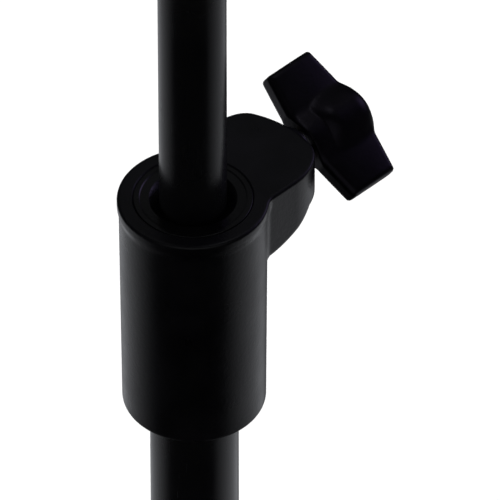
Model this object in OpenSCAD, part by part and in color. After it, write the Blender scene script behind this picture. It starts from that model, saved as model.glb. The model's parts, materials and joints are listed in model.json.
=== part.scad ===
// Music stand: folding three-legged base, telescoping column with a screw clutch, tilting desk.
// Millimetres, +Z up. The origin is on the column's axis at floor level. The player stands at -Y.

/* [Column] */
// Height of the clutch's top face above the floor
clutch_z = 600; // [560:5:700]
// Outer diameter of the lower tube
lower_d = 25.4; // [25:0.1:28]
// Wall of the lower tube
lower_wall = 1.5; // [1.2:0.1:1.8]
// Outer diameter of the upper tube
upper_d = 19; // [17:0.5:19.5]
// Wall of the upper tube
upper_wall = 1.2; // [1:0.1:2]
// Length of the upper tube
upper_len = 670; // [620:5:700]
// Height of the upper tube's top above the clutch
mast_rise = 385; // [370:5:420]

/* [Clutch housing] */
// Height of the collar
collar_h = 75.6; // [66:0.2:90]
// Wall of the collar around the lower tube
collar_wall = 8.2; // [7.5:0.1:10]
// How much the collar's radius shrinks towards its bottom
collar_draft = 0.4; // [0:0.1:1.2]
// How far the lip at the top stands out
lip_out = 0.5; // [0.2:0.1:1]
// Height of that lip
lip_h = 3.2; // [2.5:0.1:6]
// Rounding of the collar's top edge
top_round = 1.4; // [0.5:0.1:2.2]
// Rounding of the collar's bottom edge
bottom_round = 1.8; // [1:0.1:5]
// Direction of the screw's lobe, from +X towards +Y
screw_azimuth = 45; // [0:5:90]
// Distance of the screw's axis below the top face
screw_drop = 7; // [6.8:0.1:9]
// How far the lobe reaches out of the collar
lobe_out = 19.4; // [17:0.2:24]
// Width of the lobe
lobe_w = 31.8; // [28:0.2:36]
// How much further its wall stands out on the side away from the player
lobe_back = 2; // [0:0.2:3]
// Radius of the lobe's crowned end
lobe_crown_r = 32; // [24:1:60]
// Corner radius of the lobe, away from the player
lobe_corner_back = 4.5; // [2:0.5:7]
// Corner radius of the lobe, towards the player
lobe_corner_front = 9; // [2:0.5:10]
// Radius of the boss round the screw at the lobe's end
boss_r = 6.6; // [6.2:0.1:6.7]
// How far that boss stands out of the lobe's end
boss_out = 1.2; // [0.5:0.1:3]
// Depth of the lobe where it leaves the collar
lobe_root_depth = 21.4; // [20:0.2:30]
// Depth of the lobe at its end
lobe_end_depth = 15; // [15:0.2:19]
// Radius of the curve under the lobe
lobe_under_r = 29; // [24:1:45]
// Depth of the lower tube's seat below the clutch's top face
seat_depth = 28; // [24:1:34]

/* [Clutch works] */
// Radius of the bush's flange
bush_flange_r = 16.8; // [15:0.1:17.5]
// Thickness of the bush's flange
bush_flange_t = 2.4; // [1.5:0.1:2.6]
// Wall of the bush's sleeve
bush_wall = 3.2; // [2:0.1:3.4]
// Diameter of the clamp screw
screw_d = 8; // [6:0.5:8]
// Diameter of the pressure pad
pad_d = 9.8; // [9:0.1:10]
// Length of the pressure pad
pad_len = 6; // [5:0.5:8]
// Diameter of the threaded insert
insert_d = 10.6; // [10:0.1:11]
// Length of the threaded insert
insert_len = 16; // [12:0.5:17]

/* [Clamp knob] */
// Length over the wings
wing_len = 42; // [34:1:46]
// Depth of the wings along the screw
wing_depth = 16.6; // [12:0.2:18]
// Thickness of the wings
wing_t = 7.8; // [5:0.2:9]
// Angle of the wings below the horizontal
wing_angle = 34; // [0:1:90]
// Diameter of the knob's hub
hub_d = 15; // [12.5:0.5:18]
// How far the hub's cap stands out of the wings
cap_out = 5; // [3:0.2:8]
// How far the wings swell towards the hub, on each side
wing_swell = 2.2; // [0:0.2:3]
// Length of the neck between the lobe and the hub
neck_len = 1.4; // [1:0.2:6]
// Diameter of the neck
neck_d = 11; // [10:0.5:12]
// Length of the hub between the neck and the wings
hub_shoulder = 2; // [2:0.2:5]
// Gap between the neck and the lobe's end
neck_gap = 0.6; // [0.4:0.1:2]

/* [Base] */
// Reach of the feet from the column's axis
foot_reach = 250; // [230:5:300]
// Direction of the first leg, from +X towards +Y
leg_azimuth = 0; // [0:5:60]
// Outer diameter of a leg
leg_d = 16; // [14:0.5:18]
// Wall of a leg's tube
leg_wall = 1.5; // [1:0.1:2]
// Width of a leg's root between the ears
root_w = 14; // [12:0.5:14.5]
// Length of a leg's root from its pivot to the tube
root_len = 26; // [25:1:40]
// Diameter of a leg's pivot pin
pin_d = 6; // [5:0.5:8]
// Distance of the leg pivots from the column's axis
pivot_r = 33; // [32:0.5:40]
// Height of the leg pivots above the floor
pivot_z = 80; // [70:1:110]
// Wall of the base hub around the lower tube
hub_wall = 5; // [4:0.5:6]
// Height of the base hub's barrel
hub_h = 52; // [50:1:80]
// Thickness of the base hub's floor
hub_floor = 6; // [4:0.5:10]
// Thickness of the ears that hold a leg
ear_t = 5; // [4:0.5:7]
// Diameter of the base bolt
bolt_d = 10; // [8:0.5:12]
// Diameter of a rubber foot
foot_d = 21; // [19.5:0.5:24]
// How much of the foot's round end is cut flat by the sole
sole_cut = 1.5; // [1:0.1:3]

/* [Tilt head] */
// Height of the tilt axis above the upper tube's top
tilt_rise = 26; // [24:1:40]
// Depth of the tube's socket in the tilt head
socket_depth = 30; // [20:1:40]
// Wall of the socket
socket_wall = 4.5; // [3.5:0.5:6]
// Thickness of the tongue
tongue_t = 12; // [10:0.5:16]
// Radius of the tongue's round end
tongue_r = 13; // [11:0.5:16]
// Diameter of the tilt bolt
tilt_bolt_d = 6; // [5:0.5:6.5]
// Length over the wings of the tilt knob
tilt_wing_len = 34; // [28:1:40]

/* [Desk] */
// Width of the desk
desk_w = 508; // [420:4:560]
// Height of the desk's panel
desk_h = 340; // [300:5:380]
// Thickness of the desk's sheet
sheet_t = 1.2; // [1:0.1:2]
// Depth of the rim folded back around the panel
rim_depth = 8; // [6:0.5:12]
// Radius of the panel's upper corners
panel_corner = 28; // [12:1:50]
// Distance of the panel from the tilt axis
desk_set = 38; // [34:1:60]
// Lean of the desk from the vertical
desk_lean = 20; // [0:1:40]
// Height of the tilt axis above the panel's lower edge
tilt_up = 165; // [140:5:200]
// Depth of the ledge
ledge_depth = 57; // [45:1:70]
// Height of the ledge's lip
lip_up = 13; // [10:1:20]
// Width of the bracket's plate
plate_w = 120; // [90:2:160]
// Height of the bracket's plate
plate_h = 84; // [70:2:110]
// Thickness of the bracket's steel
plate_t = 2.5; // [2:0.1:4]

/* [Hidden] */
$fn = 96;
eps = 0.5;            // how far a cut runs past a face
seat = 0.05;          // clearance of a piece seated in its neighbour
running = 0.08;       // radial clearance of a shaft in its bore
sliding = 0.1;        // radial clearance of a telescoping tube
rest_gap = 0.2;       // gap between faces of pieces that move apart
black = [0.07, 0.07, 0.075];
soft_black = [0.12, 0.12, 0.125];
rubber_black = [0.16, 0.16, 0.16];
steel = [0.72, 0.73, 0.75];
brass = [0.8, 0.64, 0.3];
nylon = [0.85, 0.84, 0.8];

// Column
lower_r = lower_d / 2;
lower_bore = lower_r - lower_wall;
upper_r = upper_d / 2;
upper_bore = upper_r - upper_wall;
seat_z = clutch_z - seat_depth;
mast_top = clutch_z + mast_rise;
mast_bottom = mast_top - upper_len;

// Clutch
collar_r = lower_r + collar_wall;
collar_foot_r = collar_r - collar_draft;
lobe_end = collar_r + lobe_out;
boss_end = lobe_end + boss_out;
bush_bore = upper_r + sliding;
bush_r = bush_bore + bush_wall;
pad_r = pad_d / 2;
pad_in = upper_r + rest_gap;
pad_out = pad_in + pad_len;
corner_proud = 0.15;  // how far a corner of the lobe would pass the crown that trims it
insert_sink = 0.5;
insert_out = boss_end - insert_sink;
insert_in = insert_out - insert_len;
neck_in = boss_end + neck_gap;
wing_in = neck_in + neck_len + hub_shoulder;
screw_grip = 9;
screw_end = wing_in + screw_grip;
set_screw_d = 5;
set_screw_drop = 50;
set_screw_sink = 1.4;
set_screw_azimuth = screw_azimuth + 90;
hex_depth = 2.6;      // depth of the hexagon socket in a set screw
wing_corner = 1.8;    // corners of a knob's wings, seen from the side
wing_edge = 1.6;      // rounding of the wings' long edges

// Guide plug at the foot of the upper tube
plug_disc_t = 5;
spigot_len = 32;
groove_up = 20;
groove_depth = 2.2;
guide_pin_d = 3;

// Base
pivot_up = 14;        // height of the pivots above the lower tube's foot
tube_foot_z = pivot_z - pivot_up;
hub_z = tube_foot_z - hub_floor - seat;
hub_r = lower_r + seat + hub_wall;
foot_r = foot_d / 2;
foot_end_r = foot_reach - foot_r;
foot_end_z = foot_r - sole_cut;
leg_drop = pivot_z - foot_end_z;
leg_run = foot_end_r - pivot_r;
leg_slope = atan2(leg_drop, leg_run);
leg_len = norm([leg_run, leg_drop]);
leg_r = leg_d / 2;
stub_r = leg_r - leg_wall - seat;
stub_len = 26;
washer_t = 0.9;
ear_gap = root_w + 2 * (washer_t + sliding);
root_wall = 6;
ear_wall = 8;
root_r = pin_d / 2 + root_wall;
ear_r = pin_d / 2 + ear_wall;
heel_gap = 0.3;       // between a leg's heel and the hub it rests against
heel_up = 3;          // height of the heel's lower edge above the pivot
pin_head_r = pin_d / 2 + 2;
pin_head_t = 2;
bolt_washer_r = bolt_d + 2;
bolt_washer_t = 1.6;
bolt_head_r = bolt_d;
bolt_head_t = 6.5;
bolt_head_z = hub_z - 2 * seat - bolt_washer_t - bolt_head_t;
plug_len = 24;
foot_sleeve = 32;
foot_end_wall = 4;

// Tilt head, from the middle outwards
tilt_z = mast_top + tilt_rise;
friction_t = 1.1;
ear_in = tongue_t / 2 + friction_t + 2 * seat;
ear_out = ear_in + plate_t;
knob_washer_t = 1.5;
knob_washer_r = 9;
tilt_knob_in = ear_out + knob_washer_t + 2 * seat;
socket_r = upper_r + seat + socket_wall;
head_screw_d = 5;
head_screw_drop = 16;
head_screw_sink = 0.4;
tongue_base = 4;      // solid metal over the upper tube's end
friction_rim = 1.5;   // how far the tongue stands out past its friction washers
bracket_wall = 9;
ear_end_r = tilt_bolt_d / 2 + bracket_wall;
square_hole = tilt_bolt_d + 2 * seat;
tilt_hub_d = 13;
tilt_wing_depth = 10;
tilt_cap_out = 4;
tilt_shoulder = wing_swell + 0.6;
tilt_wing_t = wing_t - 1;
tilt_bolt_grip = 10;
tilt_bolt_end = tilt_knob_in + tilt_bolt_grip;
carriage_r = 7.5;
carriage_t = 3.6;

// Desk, in its own frame: the tilt axis is X, the panel stands at -Y
panel_back = -desk_set;
panel_front = panel_back - sheet_t;
panel_low = -tilt_up;
plate_back = panel_back + seat;
ledge_front = panel_front - ledge_depth;
ledge_top = panel_low - seat;
ledge_inset = 12;
flange_len = desk_w - 2 * ledge_inset;
ledge_flange = 18;
ledge_corner = 10;
rivet_d = 4;
rivet_head_r = 3.8;
rivet_head_t = 1;
rivet_sink = 0.9;     // depth of a rivet's countersunk head in the panel
ledge_rivet_count = 6;
rivet_inset = 12;
bracket_rivet_x = plate_w / 2 - rivet_inset;
bracket_rivet_z = plate_h / 2 - rivet_inset;
plate_corner = 8;
bead_r = 3;
bead_end = 60;        // from a bead's end to the panel's side
bead_len = desk_w - 2 * bead_end;
bead_edge = 60;       // from a bead to the panel's upper or lower edge
bracket_root = plate_h / 2 - 10;

// ---- helpers ----

// Rectangle about the origin with round corners
module rounded(w, h, r) {
    square([w - 2 * r, h], center = true);
    square([w, h - 2 * r], center = true);
    for (x = [-1, 1], y = [-1, 1])
        translate([x * (w / 2 - r), y * (h / 2 - r)]) circle(r);
}

module tube(r, bore, h) {
    difference() {
        cylinder(r = r, h = h);
        translate([0, 0, -eps]) cylinder(r = bore, h = h + 2 * eps);
    }
}

// Local +Z runs outwards along the clamp screw, local +X points down
module on_screw() {
    translate([0, 0, clutch_z - screw_drop]) rotate([0, 0, screw_azimuth])
        rotate([0, 90, 0]) children();
}

// Local +X runs outwards from the column's axis over leg i, with the pivot at the origin
module at_leg(i) {
    rotate([0, 0, leg_azimuth + 120 * (i - 1)]) translate([pivot_r, 0, pivot_z]) children();
}

// Local +X runs down along leg i
module on_leg(i) {
    at_leg(i) rotate([0, leg_slope, 0]) children();
}

// Local frame of the desk, with the tilt axis along X through the origin
module on_desk() {
    translate([0, 0, tilt_z]) rotate([-desk_lean, 0, 0]) children();
}

// Wings as a plate in X and Y: deepest at the hub, with round tips
module wing_plate(l, d, t, swell, middle) {
    r = wing_corner;
    intersection() {
        translate([0, 0, -t / 2]) linear_extrude(t) {
            for (x = [-1, 1], y = [-1, 1])
                translate([x * (l / 2 - r), y * (d / 2 - r)]) circle(r);
            for (side = [0, 1]) mirror([side, 0])
                polygon([
                    [0, -d / 2 - swell], [middle, -d / 2 - swell], [l / 2 - r, -d / 2],
                    [l / 2, -d / 2 + r], [l / 2, d / 2 - r], [l / 2 - r, d / 2],
                    [middle, d / 2 + swell], [0, d / 2 + swell]
                ]);
        }
        translate([0, d, 0]) rotate([90, 0, 0]) linear_extrude(2 * d) rounded(l, t, wing_edge);
    }
}

// Wing knob on a screw along Z: the neck starts at 0, the wings lie along X
module wing_knob(neck, neck_r, shoulder, l, d, t, swell, hub_r, cap, bore_r, bore_len) {
    wing_z = neck + shoulder;
    dome_z = wing_z + d + cap - hub_r / 2;
    difference() {
        union() {
            if (neck > 0) cylinder(r = neck_r, h = neck + 1);
            translate([0, 0, neck]) cylinder(r = hub_r, h = dome_z - neck);
            translate([0, 0, dome_z]) knob_dome(hub_r);
            translate([0, 0, wing_z + d / 2]) rotate([90, 0, 0])
                wing_plate(l, d, t, swell, hub_r);
        }
        translate([0, 0, -eps]) cylinder(r = bore_r, h = bore_len + eps);
    }
}

// Low dome that closes a hub of radius r
module knob_dome(r) {
    h = r / 2;
    ball = (r * r + h * h) / (2 * h);
    intersection() {
        cylinder(r = r, h = h);
        translate([0, 0, h - ball]) sphere(ball);
    }
}

// Rivet along Y from y0 to y1: countersunk at y0, with a flat head at y1
module rivet(y0, y1) {
    translate([0, y0, 0]) rotate([-90, 0, 0]) {
        cylinder(d = rivet_d, h = y1 - y0);
        cylinder(r1 = rivet_head_r, r2 = rivet_d / 2, h = rivet_sink);
        translate([0, 0, y1 - y0]) cylinder(r = rivet_head_r, h = rivet_head_t);
    }
}

// ---- base ----

module base_hub() color(black) {
    difference() {
        union() {
            translate([0, 0, hub_z]) cylinder(r = hub_r, h = hub_h);
            for (i = [1:3]) at_leg(i) hub_ears();
        }
        translate([0, 0, tube_foot_z - seat]) cylinder(r = lower_r + seat, h = hub_h);
        translate([0, 0, hub_z - eps]) cylinder(d = bolt_d + 2 * rest_gap, h = hub_floor + 2 * eps);
        for (i = [1:3]) at_leg(i)
            rotate([90, 0, 0]) cylinder(d = pin_d + 2 * seat, h = 4 * root_w, center = true);
    }
}

module hub_ears() {
    for (side = [-1, 1]) translate([0, side * (ear_gap + ear_t) / 2, 0])
        rotate([90, 0, 0]) linear_extrude(ear_t, center = true) {
            circle(ear_r);
            translate([-pivot_r + lower_r + hub_wall / 2, -ear_r])
                square([pivot_r - lower_r - hub_wall / 2, 2 * ear_r]);
        }
}

module hub_washer() color(steel)
    translate([0, 0, hub_z - seat - bolt_washer_t])
        tube(bolt_washer_r, bolt_d / 2 + rest_gap, bolt_washer_t);

module hub_bolt() color(steel) {
    translate([0, 0, bolt_head_z]) cylinder(r = bolt_head_r, h = bolt_head_t, $fn = 6);
    translate([0, 0, bolt_head_z + 1])
        cylinder(d = bolt_d, h = tube_foot_z + plug_len - bolt_head_z - 1);
}

module tube_plug() color(steel)
    translate([0, 0, tube_foot_z]) tube(lower_bore - seat, bolt_d / 2 + seat, plug_len);

module leg_pins() color(steel)
    for (i = [1:3]) at_leg(i) rotate([90, 0, 0]) {
        half = ear_gap / 2 + ear_t;
        cylinder(d = pin_d, h = 2 * half, center = true);
        for (side = [-1, 1]) translate([0, 0, side * (half + seat + pin_head_t / 2)])
            cylinder(r = pin_head_r, h = pin_head_t, center = true);
        cylinder(d = pin_d - 1, h = 2 * (half + pin_head_t), center = true);
    }

module leg_washers() color(nylon)
    for (i = [1:3], side = [-1, 1]) at_leg(i)
        translate([0, side * (ear_gap / 2 - seat - washer_t / 2), 0]) rotate([90, 0, 0])
            translate([0, 0, -washer_t / 2]) tube(root_r - 1, pin_d / 2 + seat, washer_t);

module leg_root(i) color(black) {
    heel_in = hub_r + heel_gap - pivot_r;
    heel_top = root_r + heel_up;
    difference() {
        union() {
            on_leg(i) {
                rotate([90, 0, 0]) linear_extrude(root_w, center = true) {
                    circle(root_r);
                    translate([0, -leg_r + 1]) square([root_len, 2 * leg_r - 2]);
                }
                rotate([0, 90, 0]) cylinder(r = stub_r, h = root_len + stub_len);
            }
            at_leg(i) rotate([90, 0, 0]) linear_extrude(root_w, center = true)
                polygon([[heel_in, heel_up], [heel_in, heel_top], [0, heel_top],
                    [root_r, 0], [0, 0]]);
        }
        at_leg(i) rotate([90, 0, 0])
            cylinder(r = pin_d / 2 + running, h = 2 * root_w, center = true);
    }
}

module leg_tube(i) color(black)
    on_leg(i) translate([root_len + seat, 0, 0]) rotate([0, 90, 0])
        tube(leg_r, leg_r - leg_wall, leg_len - foot_end_wall - root_len - 2 * seat);

module leg_foot(i) color(rubber_black)
    difference() {
        on_leg(i) difference() {
            union() {
                translate([leg_len - foot_sleeve, 0, 0]) rotate([0, 90, 0])
                    cylinder(r = foot_r, h = foot_sleeve);
                translate([leg_len, 0, 0]) sphere(foot_r);
            }
            translate([leg_len - foot_sleeve - eps, 0, 0]) rotate([0, 90, 0])
                cylinder(r = leg_r + seat, h = foot_sleeve - foot_end_wall + eps);
        }
        translate([0, 0, -foot_d]) cylinder(r = 2 * foot_reach, h = foot_d);
    }

// ---- column and clutch ----

module lower_tube() color(black)
    translate([0, 0, tube_foot_z]) tube(lower_r, lower_bore, seat_z - tube_foot_z);

// Half section of the collar below its top face
module collar_profile() {
    rim_r = collar_r + lip_out;
    polygon([
        [0, 0], [rim_r - top_round, 0], [rim_r, -top_round], [rim_r, -lip_h],
        [collar_r, -lip_h - lip_out], [collar_foot_r, -collar_h + bottom_round],
        [collar_foot_r - bottom_round, -collar_h], [0, -collar_h]
    ]);
    translate([rim_r - top_round, -top_round]) circle(top_round);
    translate([collar_foot_r - bottom_round, -collar_h + bottom_round]) circle(bottom_round);
}

// Outline of the lobe seen from above, with X outwards: two walls, two corners and a crowned end
module lobe_plan() {
    half = lobe_w / 2;
    far = half + lobe_back;
    crown = [lobe_end - lobe_crown_r, 0];
    back = corner_centre(lobe_corner_back, 1);
    front = corner_centre(lobe_corner_front, -1);
    intersection() {
        translate(crown) circle(lobe_crown_r);
        union() {
            polygon([[0, -half], [front.x, -half], front, back, [back.x, far], [0, far]]);
            polygon([crown, 3 * front - 2 * crown, [3 * lobe_end, 0], 3 * back - 2 * crown]);
            translate(back) circle(lobe_corner_back);
            translate(front) circle(lobe_corner_front);
        }
    }
}

// Centre of a corner that touches the lobe's side wall and stands a little proud of its crown
function corner_centre(r, side) =
    let (y = lobe_w / 2 + (side > 0 ? lobe_back : 0) - r)
    [lobe_end - lobe_crown_r + sqrt(pow(lobe_crown_r - r, 2) - y * y) + corner_proud, side * y];

// Side outline of the lobe, with X outwards and Y up from the top face
module lobe_side() {
    shift = 0.4 * collar_r;
    rise = sqrt(pow(lobe_under_r, 2) - shift * shift);
    intersection() {
        translate([0, -collar_h]) square([lobe_end + 1, collar_h]);
        translate([collar_r - shift, rise - lobe_root_depth]) circle(lobe_under_r);
    }
    translate([collar_r, -lobe_end_depth]) square([lobe_out + 1, lobe_end_depth]);
}

module clutch_housing() color(soft_black)
    difference() {
        translate([0, 0, clutch_z]) {
            difference() {
                union() {
                    rotate_extrude() intersection() {
                        collar_profile();
                        translate([0, -collar_h]) square([2 * collar_r, collar_h]);
                    }
                    rotate([0, 0, screw_azimuth]) intersection() {
                        translate([0, 0, -collar_h]) linear_extrude(collar_h) lobe_plan();
                        rotate([90, 0, 0]) linear_extrude(2 * lobe_w, center = true) lobe_side();
                    }
                    translate([0, 0, -clutch_z]) on_screw()
                        translate([0, 0, collar_r]) cylinder(r = boss_r, h = boss_end - collar_r);
                }
                translate([0, 0, -collar_h - eps])
                    cylinder(r = lower_r + seat, h = collar_h - seat_depth + eps + seat);
                translate([0, 0, -collar_h]) cylinder(r = bush_r + seat, h = collar_h + eps);
                translate([0, 0, -bush_flange_t - seat])
                    cylinder(r = bush_flange_r + seat, h = bush_flange_t + eps);
            }
        }
        on_screw() {
            cylinder(r = pad_r + sliding, h = insert_in);
            translate([0, 0, insert_in - seat]) cylinder(d = insert_d + 2 * seat, h = boss_end);
        }
        translate([0, 0, clutch_z - set_screw_drop]) rotate([0, 0, set_screw_azimuth])
            rotate([0, 90, 0]) cylinder(d = set_screw_d + 2 * seat, h = 2 * collar_r);
    }

module clutch_bush() color(black)
    difference() {
        union() {
            translate([0, 0, seat_z + seat]) cylinder(r = bush_r, h = seat_depth - seat);
            translate([0, 0, clutch_z - bush_flange_t]) cylinder(r = bush_flange_r, h = bush_flange_t);
        }
        translate([0, 0, seat_z - eps]) cylinder(r = bush_bore, h = seat_depth + 2 * eps);
        on_screw() cylinder(r = pad_r + sliding, h = 2 * bush_r);
    }

module clutch_insert() color(brass)
    on_screw() translate([0, 0, insert_in]) tube(insert_d / 2, screw_d / 2 + running, insert_len);

module clutch_set_screw() color(steel)
    translate([0, 0, clutch_z - set_screw_drop]) rotate([0, 0, set_screw_azimuth])
        rotate([0, 90, 0]) translate([0, 0, lower_r + seat]) difference() {
            cylinder(d = set_screw_d, h = collar_wall - set_screw_sink);
            translate([0, 0, collar_wall - set_screw_sink - hex_depth])
                cylinder(d = set_screw_d / 2, h = hex_depth + eps, $fn = 6);
        }

module pressure_pad() color(nylon)
    difference() {
        on_screw() translate([0, 0, upper_r / 2]) cylinder(r = pad_r, h = pad_out - upper_r / 2);
        translate([0, 0, clutch_z - 4 * screw_drop]) cylinder(r = pad_in, h = 5 * screw_drop);
    }

module clamp_screw() color(steel)
    on_screw() translate([0, 0, pad_out + seat])
        cylinder(d = screw_d, h = screw_end - pad_out - seat);

module clamp_knob() color(soft_black)
    on_screw() translate([0, 0, neck_in]) rotate([0, 0, wing_angle - 90])
        wing_knob(neck_len, neck_d / 2, hub_shoulder, wing_len, wing_depth, wing_t, wing_swell,
            hub_d / 2, cap_out, screw_d / 2 + seat, screw_end - neck_in + seat);

// Slides in the lower tube and lets the upper tube turn on its spigot
module guide_plug() color(nylon)
    translate([0, 0, mast_bottom - plug_disc_t - seat]) difference() {
        union() {
            cylinder(r = lower_bore - sliding, h = plug_disc_t);
            cylinder(r = upper_bore - running, h = plug_disc_t + spigot_len);
        }
        translate([0, 0, plug_disc_t + groove_up - guide_pin_d / 2 - sliding])
            tube(upper_bore + 1, upper_bore - groove_depth, guide_pin_d + 2 * sliding);
    }

module guide_pins() color(steel)
    for (side = [0, 180]) rotate([0, 0, side])
        translate([upper_bore - groove_depth + rest_gap, 0, mast_bottom - seat + groove_up])
            rotate([0, 90, 0]) cylinder(d = guide_pin_d, h = upper_wall + groove_depth - rest_gap);

module upper_tube() color(black)
    difference() {
        translate([0, 0, mast_bottom]) tube(upper_r, upper_bore, upper_len);
        translate([0, 0, mast_bottom - seat + groove_up]) rotate([0, 90, 0])
            cylinder(d = guide_pin_d + 2 * seat, h = 2 * upper_d, center = true);
    }

// ---- tilt head ----

module tilt_head() color(soft_black)
    difference() {
        union() {
            translate([0, 0, mast_top - socket_depth])
                cylinder(r = socket_r, h = socket_depth + tongue_base);
            intersection() {
                translate([0, 0, mast_top]) cylinder(r = socket_r, h = 2 * tilt_rise);
                translate([0, 0, tilt_z]) rotate([90, 0, 90])
                    linear_extrude(tongue_t, center = true) {
                        circle(tongue_r);
                        translate([-tongue_r, -tilt_rise]) square([2 * tongue_r, tilt_rise]);
                    }
            }
        }
        translate([0, 0, mast_top - socket_depth - eps])
            cylinder(r = upper_r + seat, h = socket_depth + eps + seat);
        translate([0, 0, tilt_z]) rotate([0, 90, 0])
            cylinder(r = tilt_bolt_d / 2 + running, h = 2 * tongue_t, center = true);
        translate([0, 0, mast_top - head_screw_drop]) rotate([90, 0, 0])
            cylinder(d = head_screw_d + 2 * seat, h = 4 * socket_r, center = true);
    }

module head_set_screws() color(steel)
    for (side = [-90, 90]) rotate([0, 0, side])
        translate([upper_r + seat, 0, mast_top - head_screw_drop]) rotate([0, 90, 0]) difference() {
            cylinder(d = head_screw_d, h = socket_wall - head_screw_sink);
            translate([0, 0, socket_wall - head_screw_sink - hex_depth])
                cylinder(d = head_screw_d / 2, h = hex_depth + eps, $fn = 6);
        }

module friction_washers() color(nylon)
    for (side = [-1, 1])
        translate([side * (tongue_t / 2 + seat + friction_t / 2) - friction_t / 2, 0, tilt_z])
            rotate([0, 90, 0]) tube(tongue_r - friction_rim, tilt_bolt_d / 2 + running, friction_t);

module tilt_bolt() color(steel)
    on_desk() rotate([0, 90, 0]) {
        ball = (carriage_r * carriage_r + carriage_t * carriage_t) / (2 * carriage_t);
        translate([0, 0, -ear_out - seat - carriage_t]) intersection() {
            cylinder(r = carriage_r, h = carriage_t);
            translate([0, 0, ball]) sphere(ball);
        }
        translate([-tilt_bolt_d / 2, -tilt_bolt_d / 2, -ear_out - seat - 0.1])
            cube([tilt_bolt_d, tilt_bolt_d, plate_t]);
        translate([0, 0, -ear_out - 1])
            cylinder(d = tilt_bolt_d, h = ear_out + 1 + tilt_bolt_end);
    }

module knob_washer() color(steel)
    on_desk() rotate([0, 90, 0]) translate([0, 0, ear_out + seat])
        tube(knob_washer_r, tilt_bolt_d / 2 + running, knob_washer_t);

module tilt_knob() color(soft_black)
    on_desk() rotate([0, 90, 0]) translate([0, 0, tilt_knob_in])
        wing_knob(0, 0, tilt_shoulder, tilt_wing_len, tilt_wing_depth, tilt_wing_t, wing_swell,
            tilt_hub_d / 2, tilt_cap_out, tilt_bolt_d / 2 + running, tilt_bolt_grip + 1);

// ---- desk ----

// Outline of the panel in X and Z, shrunk by d on the sides and the top
module panel_outline(d) {
    r = panel_corner - d;
    half = desk_w / 2 - d;
    top = panel_low + desk_h - d;
    translate([-half, panel_low]) square([2 * half, desk_h - d - r]);
    translate([-half + r, panel_low]) square([2 * (half - r), desk_h - d]);
    for (side = [-1, 1]) translate([side * (half - r), top - r]) circle(r);
}

module desk_panel() color(black)
    on_desk() difference() {
        union() {
            translate([0, panel_back, 0]) rotate([90, 0, 0]) linear_extrude(sheet_t) panel_outline(0);
            translate([0, panel_back + rim_depth, 0]) rotate([90, 0, 0])
                linear_extrude(rim_depth) difference() {
                    panel_outline(0);
                    panel_outline(sheet_t);
                    translate([-desk_w, panel_low - 1]) square([2 * desk_w, 1 + sheet_t]);
                }
            for (z = bead_heights()) translate([0, panel_front, z]) bead(bead_r + sheet_t);
        }
        for (z = bead_heights()) translate([0, panel_front, z]) bead(bead_r);
        translate([0, panel_front - 2 * bead_r, 0])
            cube([2 * desk_w, 4 * bead_r, 4 * desk_h], center = true);
        bracket_rivet_places() countersunk_hole();
        ledge_rivet_places() countersunk_hole();
    }

// Heights of the two pressed beads
function bead_heights() = [panel_low + bead_edge, panel_low + desk_h - bead_edge];

module bead(r) {
    rotate([0, 90, 0]) cylinder(r = r, h = bead_len, center = true);
    for (side = [-1, 1]) translate([side * bead_len / 2, 0, 0]) sphere(r);
}

module rivet_hole() rotate([90, 0, 0])
    cylinder(d = rivet_d + 2 * seat, h = 4 * (sheet_t + plate_t), center = true);

// Rivet hole with room for the countersunk head in the panel's front
module countersunk_hole() {
    rivet_hole();
    translate([0, -sheet_t, 0]) rotate([-90, 0, 0]) {
        translate([0, 0, -eps]) cylinder(r = rivet_head_r + seat, h = eps + seat);
        translate([0, 0, seat])
            cylinder(r1 = rivet_head_r + seat, r2 = rivet_d / 2 + seat, h = rivet_sink);
    }
}

module bracket_rivet_places()
    for (x = [-1, 1], z = [-1, 1])
        translate([x * bracket_rivet_x, panel_back, z * bracket_rivet_z]) children();

module ledge_rivet_places() {
    step = (flange_len - 2 * rivet_inset) / (ledge_rivet_count - 1);
    for (n = [0:ledge_rivet_count - 1])
        translate([(n - (ledge_rivet_count - 1) / 2) * step, panel_back, panel_low + ledge_flange / 2])
            children();
}

module music_ledge() color(black)
    on_desk() difference() {
        union() {
            // flange behind the panel
            translate([0, plate_back + sheet_t / 2, ledge_top + ledge_flange / 2 - sheet_t / 2])
                cube([flange_len, sheet_t, ledge_flange + sheet_t], center = true);
            // floor under the music
            translate([0, 0, ledge_top - sheet_t]) linear_extrude(sheet_t) ledge_plan(0);
            translate([0, (plate_back + sheet_t + panel_front) / 2, ledge_top - sheet_t / 2])
                cube([flange_len, plate_back + sheet_t - panel_front, sheet_t], center = true);
            // lip at the front
            translate([0, 0, ledge_top - sheet_t]) linear_extrude(lip_up + sheet_t) intersection() {
                difference() {
                    ledge_plan(0);
                    ledge_plan(sheet_t);
                }
                translate([-desk_w, ledge_front - 1]) square([2 * desk_w, ledge_corner + 1]);
            }
        }
        ledge_rivet_places() rivet_hole();
    }

// Outline of the ledge's floor in X and Y, shrunk by d on the sides and the front
module ledge_plan(d) {
    r = ledge_corner - d;
    half = desk_w / 2 - d;
    front = ledge_front + d;
    translate([-half, front + r]) square([2 * half, panel_front - front - r]);
    translate([-half + r, front]) square([2 * (half - r), panel_front - front]);
    for (side = [-1, 1]) translate([side * (half - r), front + r]) circle(r);
}

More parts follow.
